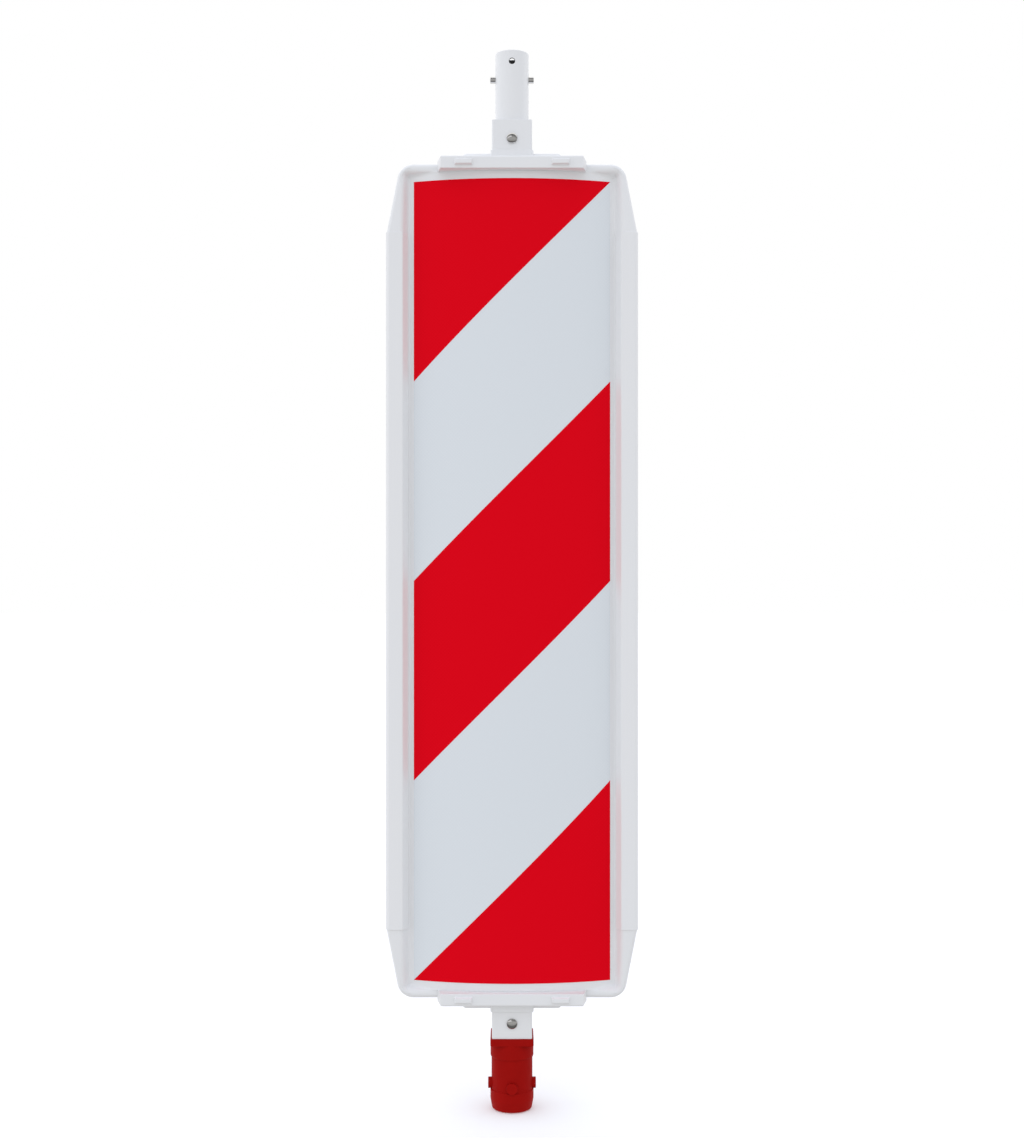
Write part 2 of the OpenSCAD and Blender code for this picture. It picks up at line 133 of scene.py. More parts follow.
# %% A wire between shader nodes
class Wire:
    """One socket of a shader, to be used in sums."""

    def __init__(self, tree, socket=None):
        self.tree, self.socket = tree, socket

    def node(self, kind, settings=None, inputs=None, output=0):
        made = self.tree.nodes.new(kind)
        for name, value in (settings or {}).items():
            if name == "stops":
                self._set_stops(made.color_ramp.elements, value)
            else:
                setattr(made, name, value)
        for name, value in (inputs or {}).items():
            if isinstance(value, Wire):
                self.tree.links.new(value.socket, made.inputs[name])
            else:
                made.inputs[name].default_value = value
        return Wire(self.tree, made.outputs[output] if len(made.outputs) else None)

    @staticmethod
    def _set_stops(elements, stops):
        while len(elements) < len(stops):
            elements.new(1)
        for element, (place, colour) in zip(elements, stops):
            element.position, element.color = place, (*colour, 1)

    def _sum(self, operation, first, second):
        return self.node("ShaderNodeMath", {"operation": operation}, {0: first, 1: second})

    def __add__(self, other):
        return self._sum("ADD", self, other)

    def __radd__(self, other):
        return self._sum("ADD", other, self)

    def __sub__(self, other):
        return self._sum("SUBTRACT", self, other)

    def __rsub__(self, other):
        return self._sum("SUBTRACT", other, self)

    def __mul__(self, other):
        return self._sum("MULTIPLY", self, other)

    def __rmul__(self, other):
        return self._sum("MULTIPLY", other, self)


def mixed(amount, first, second):
    """A colour between two others."""
    wire = next(value for value in (amount, first, second) if isinstance(value, Wire))
    return wire.node(
        "ShaderNodeMix", {"data_type": "RGBA"}, {0: amount, 6: first, 7: second}, output=2
    )


def colour(red, green, blue):
    return (red, green, blue, 1)


print("shader sums are ready")

# %% [markdown]
# ## The studio
# The light is one large soft tent, brighter and cooler overhead and dimmer below, and a little stronger
# from the left. White plastic shows its shape in such a tent only by small changes of grey, so the steps
# between above, level and below matter more than any lamp. Polished steel mirrors the tent, so what shiny
# surfaces see has darker panels in it, and one bright lamp on the left. They give the rivets and the
# buttons their dark and bright bands.


# %% The studio
def grey(level):
    return (level, level, level)


def panel(degrees):
    """Where an angle lies on the tent's band, from below and behind, past the front, to above and behind."""
    return degrees / 360 + 0.5


def tent_light():
    """Soft light for matt surfaces, panels for shiny ones, and plain white behind the beacon."""
    scene_world = bpy.data.worlds.new("tent")
    bpy.context.scene.world = scene_world
    scene_world.use_nodes = True
    scene_world.node_tree.nodes.clear()
    wire = Wire(scene_world.node_tree)
    toward = wire.node("ShaderNodeTexCoord", output="Generated")
    across = wire.node("ShaderNodeSeparateXYZ", {}, {0: toward}, output="X")
    forward = wire.node("ShaderNodeSeparateXYZ", {}, {0: toward}, output="Y")
    level = wire.node("ShaderNodeSeparateXYZ", {}, {0: toward}, output="Z")
    height = level * 0.5 + 0.5
    soft = wire.node("ShaderNodeValToRGB", {"stops": [
        (0.0, (0.72, 0.722, 0.728)), (0.45, (0.76, 0.762, 0.768)), (0.52, (1.0, 1.0, 1.0)),
        (0.68, (1.1, 1.12, 1.17)), (1.0, (1.18, 1.25, 1.4)),
    ]}, {0: height})
    sideways = wire.node("ShaderNodeMath", {"operation": "ABSOLUTE"}, {0: across})
    ahead, at_sides, to_left = 0.89, 0.2, 0.1
    sides = ahead + sideways * at_sides - across * to_left
    soft = wire.node("ShaderNodeVectorMath", {"operation": "SCALE"}, {0: soft, "Scale": sides})
    around = wire.node("ShaderNodeMath", {"operation": "ARCTAN2"}, {0: level, 1: forward * -1})
    turn = around * (0.5 / pi) + 0.5
    mirrored = wire.node("ShaderNodeValToRGB", {"stops": [
        (panel(-180), grey(1.0)), (panel(-102), grey(1.0)),
        (panel(-96), grey(0.14)), (panel(-42), grey(0.13)),
        (panel(-28), grey(0.38)), (panel(4), grey(0.46)), (panel(28), grey(0.42)),
        (panel(46), grey(0.17)), (panel(72), grey(0.17)), (panel(80), grey(1.2)),
    ]}, {0: turn})
    lamp = wire.node("ShaderNodeValToRGB", {"stops": [
        (panel(28), grey(0)), (panel(32), grey(1)), (panel(42), grey(1)), (panel(46), grey(0)),
    ]}, {0: turn})
    on_left = wire.node("ShaderNodeMapRange", {"interpolation_type": "SMOOTHSTEP"}, {
        "Value": across, "From Min": -0.04, "From Max": -0.2,
    })
    mirrored = mixed(lamp * on_left, mirrored, colour(1.2, 1.2, 1.25))
    path = wire.node("ShaderNodeLightPath", output="Is Glossy Ray")
    seen = wire.node("ShaderNodeLightPath", output="Is Camera Ray")
    light = mixed(seen, mixed(path, soft, mirrored), colour(1, 1, 1))
    background = wire.node("ShaderNodeBackground", {}, {"Color": light, "Strength": 1.0})
    wire.node("ShaderNodeOutputWorld", {}, {"Surface": background})


def pale_floor():
    """A wide white floor. It takes the beacon's soft shadow but throws no light back up."""
    mesh = bpy.data.meshes.new("studio_floor")
    reach, drop = 30, 0.0006
    tone, glow = 0.88, 0.12
    corners = [(-reach, -reach, -drop), (reach, -reach, -drop), (reach, reach, -drop), (-reach, reach, -drop)]
    mesh.from_pydata(corners, [], [(0, 1, 2, 3)])
    floor = bpy.data.objects.new("studio_floor", mesh)
    bpy.context.scene.collection.objects.link(floor)
    paint = bpy.data.materials.new("floor_paint")
    paint.use_nodes = True
    paint.node_tree.nodes.clear()
    wire = Wire(paint.node_tree)
    shader = wire.node("ShaderNodeBsdfPrincipled", {}, {
        "Base Color": colour(tone, tone, tone), "Roughness": 1.0, "Specular IOR Level": 0.0,
        "Emission Color": colour(1, 1, 1), "Emission Strength": glow,
    })
    wire.node("ShaderNodeOutputMaterial", {}, {"Surface": shader})
    mesh.materials.append(paint)
    floor.visible_diffuse = floor.visible_glossy = floor.visible_shadow = False


tent_light()
pale_floor()
bpy.context.scene.view_settings.view_transform = "Standard"
print("the studio is lit")

# %% [markdown]
# ## Finishes
# Each finish is one recipe: what it gives the shader's sockets. Moulded plastic has a fine grain left by
# the tool and a slow waviness from shrinking as it cools. Extruded strip has lines along its length.
# Reflective film is smooth, with tiny cells under a clear skin. Powder coat looks like fine orange peel.
# The helpers take a pattern's size in millimetres.


# %% Patterns that the finishes share
def pattern(where, grain_mm, detail=2.0, stretch=(1, 1, 1), rough=0.5):
    """Noise with a grain of so many millimetres, drawn out along an axis where stretch is under 1."""
    placed = where.node("ShaderNodeVectorMath", {"operation": "MULTIPLY"}, {0: where, 1: stretch})
    return where.node("ShaderNodeTexNoise", {}, {
        "Vector": placed, "Scale": 1 / (grain_mm * MM), "Detail": detail, "Roughness": rough,
    })


def relief(where, height, depth_mm, strength=1.0):
    """A bump of so many millimetres from a height between 0 and 1."""
    return where.node("ShaderNodeBump", {}, {
        "Strength": strength, "Distance": depth_mm * MM, "Height": height,
    }, output="Normal")


def finish(name, recipe):
    """A material from a recipe, which takes the place on the piece and gives the shader's sockets."""
    material = bpy.data.materials.new(name)
    material.use_nodes = True
    material.node_tree.nodes.clear()
    wire = Wire(material.node_tree)
    where = wire.node("ShaderNodeTexCoord", output="Object")
    shader = wire.node("ShaderNodeBsdfPrincipled", {}, recipe(where))
    wire.node("ShaderNodeOutputMaterial", {}, {"Surface": shader})
    return material


# %% The plastics
def shell_recipe(where):
    fine = pattern(where, 0.5)
    slow = pattern(where, 45, detail=1.0)
    return {
        "Base Color": mixed(slow, colour(0.79, 0.795, 0.805), colour(0.805, 0.81, 0.82)),
        "Roughness": 0.4 + fine * 0.12,
        "Specular IOR Level": 0.45,
        "Normal": relief(where, fine * 0.12 + slow * 4, 0.1, 0.5),
    }


def strip_recipe(where):
    lines = pattern(where, 1.2, stretch=(1, 1, 0.01))
    fine = pattern(where, 0.6)
    return {
        "Base Color": mixed(lines, colour(0.795, 0.8, 0.81), colour(0.81, 0.812, 0.82)),
        "Roughness": 0.34 + lines * 0.12,
        "Specular IOR Level": 0.45,
        "Normal": relief(where, lines * 0.4 + fine * 0.1, 0.08, 0.5),
    }


def plug_recipe(where):
    fine = pattern(where, 0.7)
    slow = pattern(where, 14, detail=2.0)
    return {
        "Base Color": mixed(slow, colour(0.3, 0.0042, 0.0033), colour(0.35, 0.0058, 0.0043)),
        "Roughness": 0.42 + fine * 0.2,
        "Specular IOR Level": 0.03,
        "Normal": relief(where, fine * 0.4 + slow * 1.5, 0.1, 0.6),
    }


shell_plastic = finish("shell_plastic", shell_recipe)
cap_plastic = finish("cap_plastic", shell_recipe)
strip_plastic = finish("strip_plastic", strip_recipe)
plug_plastic = finish("plug_plastic", plug_recipe)
print("the plastics are mixed")


# %% The films
def film_cells(where, cell_mm=3.2):
    """The sealed cells under a reflective film's clear skin, as diamonds: 0 on their walls, 1 inside."""
    turned = where.node("ShaderNodeVectorRotate", {"rotation_type": "Y_AXIS"}, {
        "Vector": where, "Angle": pi / 4,
    })
    flat = where.node("ShaderNodeVectorMath", {"operation": "MULTIPLY"}, {0: turned, 1: (1, 0, 1)})
    edge = where.node("ShaderNodeTexVoronoi", {"feature": "DISTANCE_TO_EDGE"}, {
        "Vector": flat, "Scale": 1 / (cell_mm * MM), "Randomness": 0.0,
    })
    return where.node("ShaderNodeMapRange", {"interpolation_type": "SMOOTHSTEP"}, {
        "Value": edge, "From Min": 0.03, "From Max": 0.12,
    })


def film_recipe(wall_colour, cell_colour, gloss):
    def recipe(where):
        cells = film_cells(where)
        slow = pattern(where, 60, detail=1.0)
        return {
            "Base Color": mixed(cells, wall_colour, cell_colour),
            "Roughness": 0.32 + slow * 0.08 - cells * 0.04,
            "Specular IOR Level": gloss,
            "Normal": relief(where, cells * 0.3 + slow * 2, 0.06, 0.4),
        }
    return recipe


white_film = finish("white_film", film_recipe(colour(0.74, 0.775, 0.8), colour(0.715, 0.755, 0.79), 0.4))
red_film = finish("red_film", film_recipe(colour(0.76, 0.0019, 0.011), colour(0.73, 0.0012, 0.009), 0.02))
print("the films are printed")


# %% The metals
def post_recipe(where):
    peel = pattern(where, 1.6, detail=1.0)
    fine = pattern(where, 0.35)
    return {
        "Base Color": mixed(peel, colour(0.785, 0.79, 0.8), colour(0.8, 0.805, 0.815)),
        "Roughness": 0.3 + fine * 0.12,
        "Specular IOR Level": 0.5,
        "Normal": relief(where, peel * 0.6 + fine * 0.15, 0.05, 0.5),
    }


# The bare steel inside the stub, coloured near black: partly the steel's own dark tone, and partly painted
# shade, much darker than such steel is, for the shadow inside the tube.
def bore_shade_recipe(where):
    scale = pattern(where, 4, detail=3.0)
    return {
        "Base Color": mixed(scale, colour(0.012, 0.012, 0.013), colour(0.035, 0.033, 0.032)),
        "Roughness": 0.55 + scale * 0.25,
        "Specular IOR Level": 0.3,
        "Normal": relief(where, scale, 0.1, 0.5),
    }


def polished_recipe(where):
    fine = pattern(where, 0.25)
    slow = pattern(where, 3)
    return {
        "Base Color": mixed(slow, colour(0.66, 0.65, 0.63), colour(0.72, 0.71, 0.69)),
        "Metallic": 1.0,
        "Roughness": 0.12 + fine * 0.1,
        "Normal": relief(where, fine * 0.3 + slow * 0.7, 0.02, 0.4),
    }


def turned_recipe(where):
    rings = pattern(where, 0.18, stretch=(1, 0.02, 0.02))
    return {
        "Base Color": mixed(rings, colour(0.68, 0.67, 0.66), colour(0.76, 0.75, 0.74)),
        "Metallic": 1.0,
        "Roughness": 0.14 + rings * 0.14,
        "Normal": relief(where, rings, 0.01, 0.4),
    }


def spring_recipe(where):
    rolled = pattern(where, 0.5, stretch=(1, 1, 0.03))
    return {
        "Base Color": mixed(rolled, colour(0.35, 0.36, 0.39), colour(0.45, 0.46, 0.5)),
        "Metallic": 1.0,
        "Roughness": 0.3 + rolled * 0.15,
        "Normal": relief(where, rolled, 0.01, 0.4),
    }


post_paint = finish("post_paint", post_recipe)
bare_bore_shade = finish("bare_bore_shade", bore_shade_recipe)
rivet_steel = finish("rivet_steel", polished_recipe)
button_steel = finish("button_steel", turned_recipe)
spring_steel = finish("spring_steel", spring_recipe)
print("the metals are finished")

# %% [markdown]
# ## Workshop tools
# A few small tools make every piece. `solid` turns rows of points into a closed mesh. `rounded` breaks
# the corners of an outline with arcs, as every moulded or cut edge is broken. `block` raises an outline
# between two heights with soft upper and lower edges, and `turned` spins a profile, as a lathe does.
# `joined` and `cut` weld and drill solids. Boolean work keeps holes true, and it is done before the edges
# are shaded.

# %% Rows of points into a solid
weld = 0.002


def solid(name, points, faces, place=None):
    """A closed mesh from points in millimetres, set in place."""
    mesh = bpy.data.meshes.new(name)
    place = place or Matrix.Identity(4)
    mesh.from_pydata([place @ Vector(point) for point in points], [], faces)
    work = bmesh.new()
    work.from_mesh(mesh)
    bmesh.ops.remove_doubles(work, verts=work.verts, dist=weld)
    bmesh.ops.dissolve_degenerate(work, edges=work.edges, dist=weld)
    bmesh.ops.recalc_face_normals(work, faces=work.faces)
    work.to_mesh(mesh)
    work.free()
    made = bpy.data.objects.new(name, mesh)
    bpy.context.scene.collection.objects.link(made)
    return made


def skin(rows, closed=False):
    """Points and faces that join closed rings of points. A closed skin joins the last ring to the first."""
    count = len(rows[0])
    points = [point for row in rows for point in row]
    faces = []
    for i in range(len(rows) - (not closed)):
        j = (i + 1) % len(rows)
        for k in range(count):
            n = (k + 1) % count
            faces.append((i * count + k, i * count + n, j * count + n, j * count + k))
    if not closed:
        faces.append(tuple(reversed(range(count))))
        faces.append(tuple(range(len(points) - count, len(points))))
    return points, faces


# %% Outlines with soft corners
def rounded(corners, radii, steps=5, closed=True):
    """An outline whose corners are replaced by arcs. A radius of 0 keeps the corner as steps + 1 points."""
    outline = []
    for i, corner in enumerate(corners):
        if not closed and i in (0, len(corners) - 1):
            outline.append(Vector(corner))
            continue
        here = Vector(corner)
        back = (Vector(corners[i - 1]) - here).normalized()
        on = (Vector(corners[(i + 1) % len(corners)]) - here).normalized()
        half_angle = back.angle(on) / 2
        radius = radii[i] if hasattr(radii, "__len__") else radii
        centre = here + (back + on).normalized() * radius / sin(half_angle)
        first = here + back * radius / tan(half_angle) - centre
        last = here + on * radius / tan(half_angle) - centre
        for step in range(steps + 1):
            arc = first.slerp(last, step / steps).normalized() * radius if radius > 0 else first
            outline.append(centre + arc)
    return outline


def moved_in(corners, distance):
    """A convex outline's corners with every side moved in by a distance."""
    result = []
    for i, corner in enumerate(corners):
        here = Vector(corner)
        back = (here - Vector(corners[i - 1])).normalized()
        on = (Vector(corners[(i + 1) % len(corners)]) - here).normalized()
        inward_back, inward_on = Vector((-back.y, back.x)), Vector((-on.y, on.x))
        bisector = inward_back + inward_on
        result.append(here + bisector * distance * 2 / bisector.length_squared)
    return result


def edge_steps(radius, steps=4):
    """How far a rounded edge is set in and set back, from its side round to its end."""
    angles = [pi / 2 * step / steps for step in range(steps + 1)]
    return [(radius * (1 - cos(angle)), radius * (1 - sin(angle))) for angle in angles]


# %% Blocks and turned parts
least_corner = 0.05


def block(name, base, low, high, radius=1.0, edges=(0.5, 0.5), top=None, place=None, steps=4):
    """A convex outline raised between two heights, with rounded edges below and above."""
    top = top or base
    rings = []

    def ring(height, inset):
        share = (height - low) / (high - low)
        corners = [Vector(a).lerp(Vector(b), share) for a, b in zip(base, top)]
        soft = max(radius - inset, least_corner)
        return [(*point, height) for point in rounded(moved_in(corners, inset), soft, steps)]

    for inset, back in reversed(edge_steps(edges[0])):
        rings.append(ring(low + back, inset))
    for inset, back in edge_steps(edges[1]):
        rings.append(ring(high - back, inset))
    return solid(name, *skin(rings), place)


def rectangle(width, depth):
    x, y = width / 2, depth / 2
    return [(-x, -y), (x, -y), (x, y), (-x, y)]


def turned(name, profile, place=None, closed=False, sides=96):
    """A profile of radius and height, spun about the upright axis."""
    rings = [
        [(r * cos(2 * pi * k / sides), r * sin(2 * pi * k / sides), z) for k in range(sides)]
        for r, z in profile
    ]
    return solid(name, *skin(rings, closed), place)


# %% Welding and drilling
def boolean(target, tools, operation):
    for tool in tools:
        step = target.modifiers.new("boolean", "BOOLEAN")
        step.operation, step.object, step.solver = operation, tool, "MANIFOLD"
    graph = bpy.context.evaluated_depsgraph_get()
    mesh = bpy.data.meshes.new_from_object(target.evaluated_get(graph))
    target.modifiers.clear()
    target.data = mesh
    for tool in tools:
        bpy.data.objects.remove(tool)


def joined(target, *tools):
    boolean(target, tools, "UNION")


def cut(target, *tools):
    boolean(target, tools, "DIFFERENCE")


# %% Handing a piece over
def hand_over(piece, material, body, slot, *nodes, sharp_angle=32):
    """Turns a piece from millimetres into metres, shades it and hangs it on its body."""
    piece.data.transform(Matrix.Scale(MM, 4))
    piece.data.materials.clear()
    piece.data.materials.append(material)
    piece.data.shade_smooth()
    piece.data.set_sharp_from_angle(angle=radians(sharp_angle))
    shade = piece.modifiers.new("even_shading", "WEIGHTED_NORMAL")
    shade.keep_sharp = True
    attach(piece, body)
    if nodes:
        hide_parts(*nodes)
    print(f"{piece.name}: {len(piece.data.polygons)} faces")


in_panel = Matrix.Translation((0, 0, mid_z))
half_turn = Matrix.Rotation(pi, 4, "Z")
upside_down = Matrix.Rotation(pi, 4, "X")

# %% [markdown]
# ## The panel shells
# The panel is two equal plastic shells, back to back. Each has a raised rim all round and a bowed face
# inside it, which carries the film. A box with its edges softened would lose the bead-like rim, so the
# shell is lofted: stations run once round a quarter of the panel, and at each station a section climbs
# from the seam over the rim and down its leaning flank to the face. The face is then a grid that picks up
# the last points of those sections. Four mirrored quarters make the whole, and the same sections, set in
# by the wall, make the inside.

# %% Stations round a quarter of the panel
seam_chamfer = 0.4
outer_edge, inner_edge, foot_fillet = 5.0, 4.0, 2.6
inner_corner_r = 6.0
crest_run = 6
edge_steps_up, flank_steps, foot_steps = 6, 6, 5
most_of_flank, least_flank = 0.45, 0.5
strip_step = 0.05
strip_seat = strip_t + strip_gap - strip_proud


def parts_of_a_quarter(counts):
    return [(part, i / count) for part, count in counts for i in range(count + 1)]


side_stations = parts_of_a_quarter([("side", 6), ("taper", 8)])
corner_stations = parts_of_a_quarter([("corner", 10)])
end_stations = parts_of_a_quarter([("end", 36)])
stations = side_stations + corner_stations + end_stations


def outer_point(part, share, inset):
    """A point of the panel's outline in the X-Z plane, set in by a distance."""
    top = straight - inset * tan(taper / 2)
    radius = corner_r - inset
    start = Vector((half_w - inset, top))
    if part == "side":
        return Vector((half_w - inset, (straight + strip_gap) * share))
    if part == "taper":
        return start.lerp(Vector((corner_x + radius * cos(taper), corner_z + radius * sin(taper))), share)
    if part == "corner":
        angle = taper + (pi / 2 - taper) * share
        return Vector((corner_x + radius * cos(angle), corner_z + radius * sin(angle)))
    return Vector((corner_x * (1 - share), rim_half_h - inset))


def inner_point(part, share, out_x, out_z, radius):
    """A point of the opening inside the rim, which is a rectangle with round corners."""
    half_x, top = valley_x + out_x, end_valley + out_z
    if part == "side":
        return Vector((half_x, (straight + strip_gap) * share))
    if part == "taper":
        return Vector((half_x, straight + strip_gap)).lerp(Vector((half_x, top - radius)), share)
    if part == "corner":
        angle = pi / 2 * share
        return Vector((half_x - radius + radius * cos(angle), top - radius + radius * sin(angle)))
    return Vector(((half_x - radius) * (1 - share), top))


def crest_at(z):
    """The rim's half depth: full along the parallel sides, and lower towards the ends."""
    share = min(max((abs(z) - straight) / (end_valley + crest_run - straight), 0), 1)
    return rim_crest + (end_crest - rim_crest) * share


# %% The section at one station
def curve_through(first, corner, last, steps):
    """A soft curve from one point to another that turns at a corner."""
    shares = [step / steps for step in range(steps + 1)]
    return [
        tuple(a * (1 - u) ** 2 + 2 * b * u * (1 - u) + c * u * u for a, b, c in zip(first, corner, last))
        for u in shares
    ]


def rim_section(part, share, wall, chamfer):
    """Points from the seam, over the rim and down to the face. Each is x, z and half depth."""
    inset = wall + (strip_seat if part == "side" and wall == 0 else 0)
    crest = crest_at(outer_point(part, share, inset).y) - inset
    section = [(*outer_point(part, share, inset + chamfer), 0), (*outer_point(part, share, inset), chamfer)]
    for step in range(edge_steps_up + 1):
        angle = pi / 2 * step / edge_steps_up
        along = inset + outer_edge * (1 - cos(angle))
        section.append((*outer_point(part, share, along), crest - outer_edge * (1 - sin(angle))))

    def opening(height, from_wall):
        """How far the flanks have leaned out at a height."""
        return (
            (height - valley_t) * side_lean + from_wall * hypot(1, side_lean),
            (height - valley_t) * end_lean + from_wall * hypot(1, end_lean),
        )

    crest_x, crest_z = opening(crest, inset)
    across = 1 - share if part == "end" else 1
    foot_t = face_t((valley_x + wall) * across, wall)
    foot_x, foot_z = opening(foot_t, wall)
    foot_z = min(foot_z, crest_z)
    rim = (crest_x, crest_z, inner_corner_r, crest)
    foot = (foot_x, foot_z, 0, foot_t)
    length = max(abs(crest - foot_t), least_flank)
    near_rim, near_foot = (min(most_of_flank, soft / length) for soft in (inner_edge, foot_fillet))
    over = (crest_x + inner_edge, crest_z + inner_edge, inner_corner_r + inner_edge, crest)
    below_rim = tuple(a + (b - a) * near_rim for a, b in zip(rim, foot))
    above_foot = tuple(b + (a - b) * near_foot for a, b in zip(rim, foot))
    face_x, face_z = foot_x - foot_fillet, foot_z - foot_fillet
    on_face = (face_x, face_z, 0, face_t((valley_x + face_x) * across, wall))
    flank = curve_through(over, rim, below_rim, flank_steps)
    if part == "side" and wall == 0:
        step_t = strip_foot - strip_gap
        flank.append((*opening(step_t, inset), 0, step_t))
        flank.append((*opening(step_t, 0), 0, step_t - strip_step))
    else:
        middle = tuple((a + b) / 2 for a, b in zip(below_rim, above_foot))
        flank += [middle, middle]
    flank += curve_through(above_foot, foot, on_face, foot_steps)
    section += [(*inner_point(part, share, out_x, out_z, radius), t) for out_x, out_z, radius, t in flank]
    return section


# %% A quarter, mirrored into a shell
def quarter_surface(wall, chamfer):
    """Rows of points over the rim, and the grid of the bowed face inside it."""
    rim = [rim_section(part, share, wall, chamfer) for part, share in stations]
    sides = [section[-1] for section in rim[: len(side_stations)]]
    ends = [section[-1] for section in rim[-len(end_stations):]]
    top = ends[0][1]
    face = [
        [(x, row[1] * z / top, face_t(x, wall)) for x, z, _ in ends] for row in sides
    ]
    return rim, face


def grid_faces(rows, start, turn):
    count = len(rows[0])
    faces = []
    for i in range(len(rows) - 1):
        for k in range(count - 1):
            a = start + i * count + k
            face = (a, a + 1, a + count + 1, a + count)
            faces.append(face if turn else face[::-1])
    return faces


def panel_points(surfaces, forward=(-1,)):
    """Four mirrored quarters of each grid of points, on the front, the back or both."""
    points, faces = [], []
    for side in forward:
        for mirror_x in (1, -1):
            for mirror_z in (1, -1):
                for rows in surfaces:
                    start = len(points)
                    points += [(x * mirror_x, t * side, z * mirror_z) for row in rows for x, z, t in row]
                    faces += grid_faces(rows, start, mirror_x * mirror_z * side > 0)
    return points, faces


def shell_surfaces():
    outside, outer_face = quarter_surface(0, seam_chamfer)
    inside, inner_face = quarter_surface(shell_t, 0)
    seam = [[outer[0], inner[0]] for outer, inner in zip(outside, inside)]
    return [outside, outer_face, inside, inner_face, seam]


# %% The post's way, and both shells
def post_way():
    """The square way through the panel and its caps, with room for the post to slide in."""
    side, corner = post_side + 2 * seat_gap, 2
    return block("post_way", rectangle(side, side), -2 * half_h, 2 * half_h, corner, (0.1, 0.1))


def moulded_shell(name, node, place):
    shell = solid(name, *panel_points(shell_surfaces()))
    cut(shell, post_way())
    shell.data.transform(place)
    hand_over(shell, shell_plastic, "beacon", "shell_plastic", node)


moulded_shell("moulded_front_shell", "front_shell", in_panel)
moulded_shell("moulded_rear_shell", "rear_shell", in_panel @ half_turn)

# %% [markdown]
# ## The edge strips
# A clip-on strip grips each parallel side, holds the two shells together and takes the knocks. It is an
# extrusion, so it is drawn as one: an open section with soft corners, an equal section set in by the
# wall, and a straight run between two slightly broken ends.


# %% The edge strips
strip_bevel, least_soft, end_break = 4, 0.8, 0.35


def strip_path(inset):
    """The section's surface from the front leg round the panel's edge to the rear leg."""
    crest, outer = rim_crest + strip_proud - inset, half_w + strip_proud - inset
    bevel = strip_bevel - inset * (2 - sqrt(2))
    shift = (inset - strip_proud) * hypot(1, side_lean)

    def flank(t):
        return valley_x + (t - valley_t) * side_lean + shift

    front = [
        (flank(strip_foot), strip_foot), (flank(crest), crest),
        (outer - bevel, crest), (outer, crest - bevel),
    ]
    path = front + [(x, -t) for x, t in reversed(front)]
    soft = [0, 3.2, 3.0, 3.0, 3.0, 3.0, 3.2, 0]
    return rounded(path, [max(radius - inset, least_soft) for radius in soft], 6, closed=False)


def edge_strip(name, node, mirror_x):
    inner = strip_path(strip_t)
    low_end = [(-straight, end_break), (end_break - straight, 0)]
    high_end = [(straight - end_break, 0), (straight, end_break)]
    rows = []
    for z, inset in low_end + high_end:
        loop = strip_path(inset) + inner[::-1]
        rows.append([(x * mirror_x, -t, z) for x, t in loop])
    count = len(rows[0])
    points, faces = skin(rows)
    faces = faces[:-2]
    for start in (0, len(points) - count):
        for k in range(len(inner) - 1):
            faces.append((start + k, start + k + 1, start + count - 2 - k, start + count - 1 - k))
    strip = solid(name, points, faces, in_panel)
    hand_over(strip, strip_plastic, "beacon", "strip_plastic", node)


edge_strip("extruded_right_strip", "right_edge_strip", 1)
edge_strip("extruded_left_strip", "left_edge_strip", -1)

# %% [markdown]
# ## The reflective film
# White film covers each bowed face, and red film is laid over it in slanting stripes that run at 45
# degrees on the flat sheet. Film can bend but not stretch, so a point's place across the sheet is an arc
# length, and its place across the panel is the sine of that. The stripe edges are straight on the sheet
# and so curve very slightly on the panel.

# %% The reflective film
film_half_w, film_half_h = 125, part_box("front_white_film")[1].z / MM - mid_z
white_t, red_t = 0.4, 0.2
columns = 64


def film(name, node, lower, upper, under, thickness, material, slot, turn):
    """A sheet on the bowed face between two edges, each given by its height at a place across the sheet."""
    rows = []
    for i in range(columns + 1):
        across = film_half_w * (2 * i / columns - 1)
        angle = across / face_r
        low = min(max(lower(across), -film_half_h), film_half_h)
        high = min(max(upper(across), -film_half_h), film_half_h)
        depths = [(face_r + under + rise) * cos(angle) + face_crest - face_r for rise in (0, thickness)]
        places = [(face_r + under + rise) * sin(angle) for rise in (0, thickness)]
        rows.append([
            (places[0], -depths[0], low), (places[1], -depths[1], low),
            (places[1], -depths[1], high), (places[0], -depths[0], high),
        ])
    sheet = solid(name, *skin(rows), in_panel @ turn)
    hand_over(sheet, material, "beacon", slot, node)


red_stripes = {"upper": film_half_h, "middle": 0, "lower": -film_half_h}
for side, turn in (("front", Matrix.Identity(4)), ("rear", half_turn)):
    film(f"{side}_white_sheeting", f"{side}_white_film", lambda s: -film_half_h, lambda s: film_half_h,
         0, white_t, white_film, "white_film", turn)
    for place, middle in red_stripes.items():
        film(f"{side}_red_sheeting_{place}", f"{side}_red_film_{place}",
             lambda s: middle - film_half_w + s, lambda s: middle + film_half_w + s,
             white_t, red_t, red_film, "red_film", turn)

# %% [markdown]
# ## The end caps
# A cap bridges each end of the panel and clamps both shells to the post. It is a bar with sloping ends,
# four latch housings, and a raised boss with a collar that guides the post. The bar is a block with soft
# edges. The panel's own form, grown by the seat gap, is cut out of it, so the cap fits the shells
# exactly, and then the square way for the post is cut.

# %% The end caps
latch_x, latch_w, latch_h, latch_out, latch_slope = 60, 23.5, 9, 4.5, 1.9
cap_front_w, cap_root_w, cap_over, cap_corner = 177, 186, 1.6, 1.4
cap_half_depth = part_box("top_cap")[1].y / MM - latch_out
cap_inner, cap_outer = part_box("top_cap")[0].z / MM - mid_z, half_h + cap_over
latch_share, latch_root, latch_corner = 0.48, 1, 0.8
latch_z = cap_inner + (cap_outer - cap_inner) * latch_share
boss_h, boss_root, boss_end, boss_corner = 8, (131.6, 48), (118.6, 34), 2.5
collar_t, collar_h, collar_corner = 1.6, 2.5, 3.6
boss_sunk, collar_sunk = 0.5, 1


